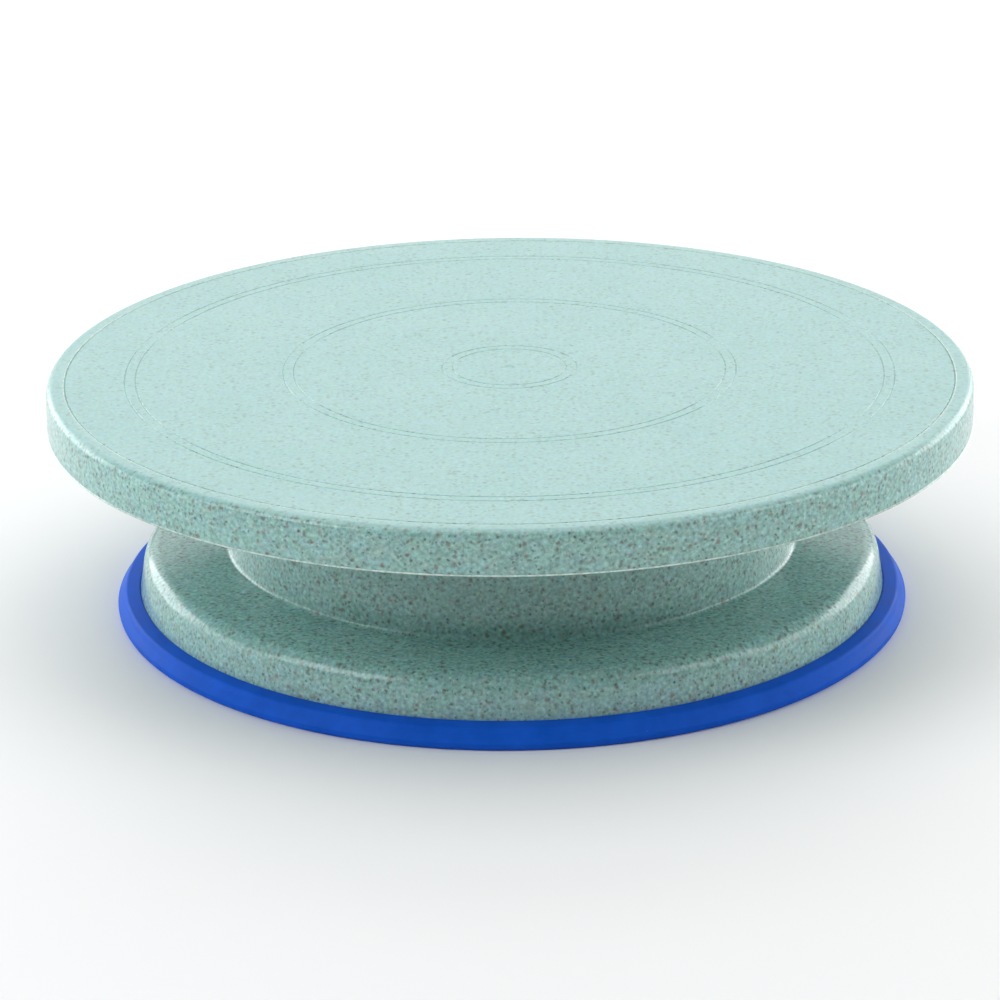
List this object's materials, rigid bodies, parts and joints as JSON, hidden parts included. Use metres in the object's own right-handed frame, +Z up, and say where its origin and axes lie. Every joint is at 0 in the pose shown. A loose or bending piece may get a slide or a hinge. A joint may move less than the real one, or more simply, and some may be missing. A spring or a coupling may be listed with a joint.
{
  "type": "pottery wheel",
  "caption": "Hand-turned pottery wheel: round rimmed plate that spins on a ball race over a hat-shaped base with a non-slip rubber ring.",
  "frame": {"origin": "middle of the circle that the rubber ring stands on, on the plate's axis", "axes": "+Z up along the plate's axis of rotation; the wheel is round, so +X is any direction along the table"},
  "size_m": [0.2799, 0.28, 0.0728],
  "materials": {
    "mint_plastic": "satin moulded plastic with straw fibres and brown specks",
    "blue_silicone": "smooth satin silicone rubber",
    "race_steel": "ground bearing steel, oiled",
    "ball_steel": "polished bearing steel",
    "spindle_steel": "turned steel",
    "zinc_steel": "bright zinc plated",
    "nylon": "natural nylon",
    "bronze": "sintered bronze"
  },
  "bodies": {
    "base": {"base_shell": "mint_plastic", "non_slip_ring": "blue_silicone", "lower_race": "race_steel", "spindle_bush": "bronze", "thrust_washer": "nylon", "hub_cap": "mint_plastic"},
    "turntable": {"top_plate": "mint_plastic", "upper_race": "race_steel", "spindle": "spindle_steel", "spindle_screws": "zinc_steel", "retaining_washer": "zinc_steel", "retaining_screw": "zinc_steel"},
    "cage": {"ball_cage": "nylon"},
    "rolling_ball_01": {"ball_01": "ball_steel"},
    "rolling_ball_02": {"ball_02": "ball_steel"},
    "rolling_ball_03": {"ball_03": "ball_steel"},
    "rolling_ball_04": {"ball_04": "ball_steel"},
    "rolling_ball_05": {"ball_05": "ball_steel"},
    "rolling_ball_06": {"ball_06": "ball_steel"},
    "rolling_ball_07": {"ball_07": "ball_steel"},
    "rolling_ball_08": {"ball_08": "ball_steel"},
    "rolling_ball_09": {"ball_09": "ball_steel"},
    "rolling_ball_10": {"ball_10": "ball_steel"},
    "rolling_ball_11": {"ball_11": "ball_steel"},
    "rolling_ball_12": {"ball_12": "ball_steel"},
    "rolling_ball_13": {"ball_13": "ball_steel"},
    "rolling_ball_14": {"ball_14": "ball_steel"},
    "rolling_ball_15": {"ball_15": "ball_steel"},
    "rolling_ball_16": {"ball_16": "ball_steel"}
  },
  "joints": [
    {"name": "plate_spin", "type": "hinge", "parent": "base", "child": "turntable", "pos_m": [0, 0, 0.0606], "axis": [0, 0, 1], "continuous": true},
    {"name": "cage_orbit", "type": "hinge", "parent": "base", "child": "cage", "pos_m": [0, 0, 0.0606], "axis": [0, 0, 1], "continuous": true},
    {"name": "ball_01_roll", "type": "hinge", "parent": "cage", "child": "rolling_ball_01", "pos_m": [0.042, 0, 0.0606], "axis": [1, 0, 0], "continuous": true},
    {"name": "ball_02_roll", "type": "hinge", "parent": "cage", "child": "rolling_ball_02", "pos_m": [0.0388, 0.01607, 0.0606], "axis": [0.9239, 0.3827, 0], "continuous": true},
    {"name": "ball_03_roll", "type": "hinge", "parent": "cage", "child": "rolling_ball_03", "pos_m": [0.0297, 0.0297, 0.0606], "axis": [0.7071, 0.7071, 0], "continuous": true},
    {"name": "ball_04_roll", "type": "hinge", "parent": "cage", "child": "rolling_ball_04", "pos_m": [0.01607, 0.0388, 0.0606], "axis": [0.3827, 0.9239, 0], "continuous": true},
    {"name": "ball_05_roll", "type": "hinge", "parent": "cage", "child": "rolling_ball_05", "pos_m": [0, 0.042, 0.0606], "axis": [0, 1, 0], "continuous": true},
    {"name": "ball_06_roll", "type": "hinge", "parent": "cage", "child": "rolling_ball_06", "pos_m": [-0.01607, 0.0388, 0.0606], "axis": [-0.3827, 0.9239, 0], "continuous": true},
    {"name": "ball_07_roll", "type": "hinge", "parent": "cage", "child": "rolling_ball_07", "pos_m": [-0.0297, 0.0297, 0.0606], "axis": [-0.7071, 0.7071, 0], "continuous": true},
    {"name": "ball_08_roll", "type": "hinge", "parent": "cage", "child": "rolling_ball_08", "pos_m": [-0.0388, 0.01607, 0.0606], "axis": [-0.9239, 0.3827, 0], "continuous": true},
    {"name": "ball_09_roll", "type": "hinge", "parent": "cage", "child": "rolling_ball_09", "pos_m": [-0.042, 0, 0.0606], "axis": [-1, 0, 0], "continuous": true},
    {"name": "ball_10_roll", "type": "hinge", "parent": "cage", "child": "rolling_ball_10", "pos_m": [-0.0388, -0.01607, 0.0606], "axis": [-0.9239, -0.3827, 0], "continuous": true},
    {"name": "ball_11_roll", "type": "hinge", "parent": "cage", "child": "rolling_ball_11", "pos_m": [-0.0297, -0.0297, 0.0606], "axis": [-0.7071, -0.7071, 0], "continuous": true},
    {"name": "ball_12_roll", "type": "hinge", "parent": "cage", "child": "rolling_ball_12", "pos_m": [-0.01607, -0.0388, 0.0606], "axis": [-0.3827, -0.9239, 0], "continuous": true},
    {"name": "ball_13_roll", "type": "hinge", "parent": "cage", "child": "rolling_ball_13", "pos_m": [0, -0.042, 0.0606], "axis": [0, -1, 0], "continuous": true},
    {"name": "ball_14_roll", "type": "hinge", "parent": "cage", "child": "rolling_ball_14", "pos_m": [0.01607, -0.0388, 0.0606], "axis": [0.3827, -0.9239, 0], "continuous": true},
    {"name": "ball_15_roll", "type": "hinge", "parent": "cage", "child": "rolling_ball_15", "pos_m": [0.0297, -0.0297, 0.0606], "axis": [0.7071, -0.7071, 0], "continuous": true},
    {"name": "ball_16_roll", "type": "hinge", "parent": "cage", "child": "rolling_ball_16", "pos_m": [0.0388, -0.01607, 0.0606], "axis": [0.9239, -0.3827, 0], "continuous": true}
  ],
  "couplings": [
    {"joint": "cage_orbit", "follows": "plate_spin", "ratio": 0.5},
    {"joint": "ball_01_roll", "follows": "plate_spin", "ratio": -7},
    {"joint": "ball_02_roll", "follows": "plate_spin", "ratio": -7},
    {"joint": "ball_03_roll", "follows": "plate_spin", "ratio": -7},
    {"joint": "ball_04_roll", "follows": "plate_spin", "ratio": -7},
    {"joint": "ball_05_roll", "follows": "plate_spin", "ratio": -7},
    {"joint": "ball_06_roll", "follows": "plate_spin", "ratio": -7},
    {"joint": "ball_07_roll", "follows": "plate_spin", "ratio": -7},
    {"joint": "ball_08_roll", "follows": "plate_spin", "ratio": -7},
    {"joint": "ball_09_roll", "follows": "plate_spin", "ratio": -7},
    {"joint": "ball_10_roll", "follows": "plate_spin", "ratio": -7},
    {"joint": "ball_11_roll", "follows": "plate_spin", "ratio": -7},
    {"joint": "ball_12_roll", "follows": "plate_spin", "ratio": -7},
    {"joint": "ball_13_roll", "follows": "plate_spin", "ratio": -7},
    {"joint": "ball_14_roll", "follows": "plate_spin", "ratio": -7},
    {"joint": "ball_15_roll", "follows": "plate_spin", "ratio": -7},
    {"joint": "ball_16_roll", "follows": "plate_spin", "ratio": -7}
  ]
}
